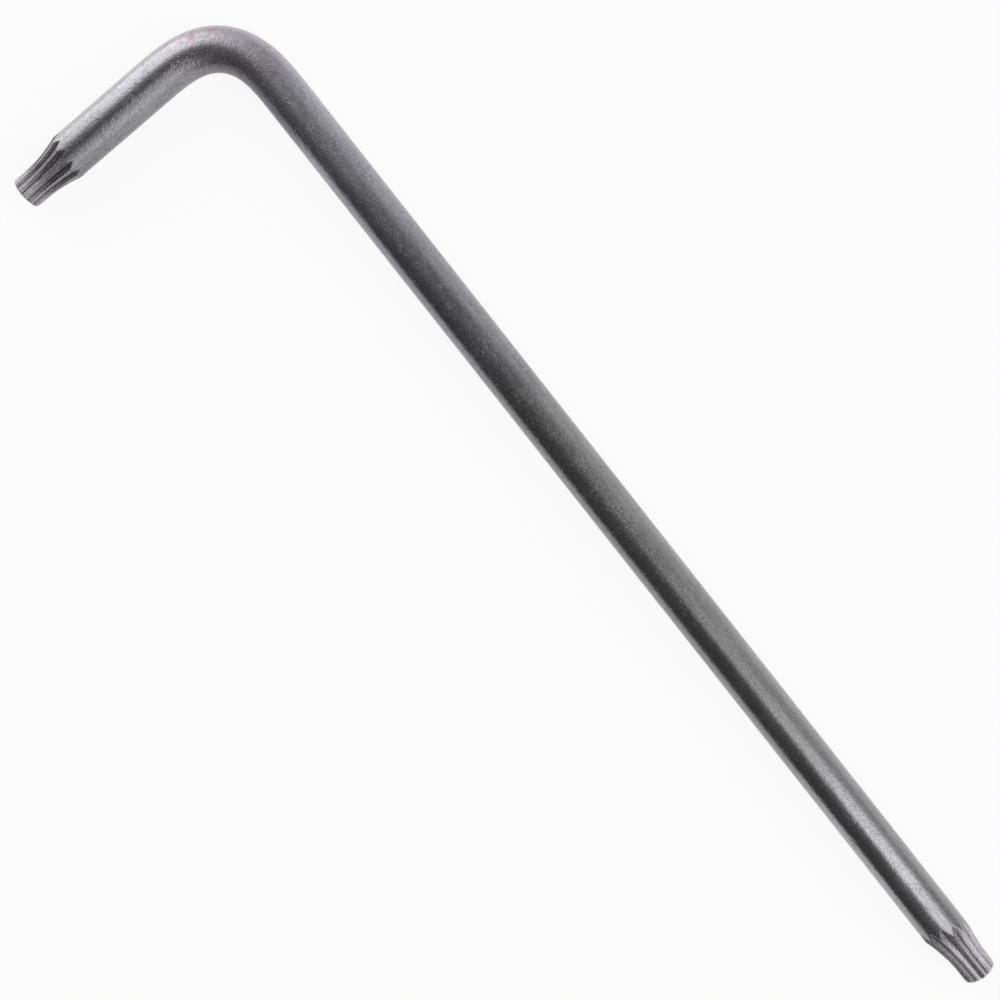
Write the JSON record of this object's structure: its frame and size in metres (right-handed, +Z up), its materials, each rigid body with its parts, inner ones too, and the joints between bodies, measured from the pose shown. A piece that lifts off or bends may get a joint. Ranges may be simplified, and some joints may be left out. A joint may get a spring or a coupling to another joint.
{
  "type": "star key",
  "caption": "L-shaped star key: a round steel bar bent to a right angle, with a twelve-point star drive ground on the tip of each arm for turning star-recess screws.",
  "frame": {"origin": "on the surface the key lies on, under the middle of its outline", "axes": "+X along the long arm towards its tip, -Y along the short arm towards its tip, +Z up from the surface"},
  "size_m": [0.298, 0.07, 0.011],
  "materials": {
    "blackened_steel": "heat-blackened satin with a fine blasted grain and worn grey streaks",
    "ground_steel": "ground along the grooves, brighter on the points and dark in the groove floors"
  },
  "bodies": {
    "root": {"long_arm": "blackened_steel", "bend": "blackened_steel", "short_arm": "blackened_steel", "long_star_tip": "ground_steel", "short_star_tip": "ground_steel"}
  },
  "joints": []
}
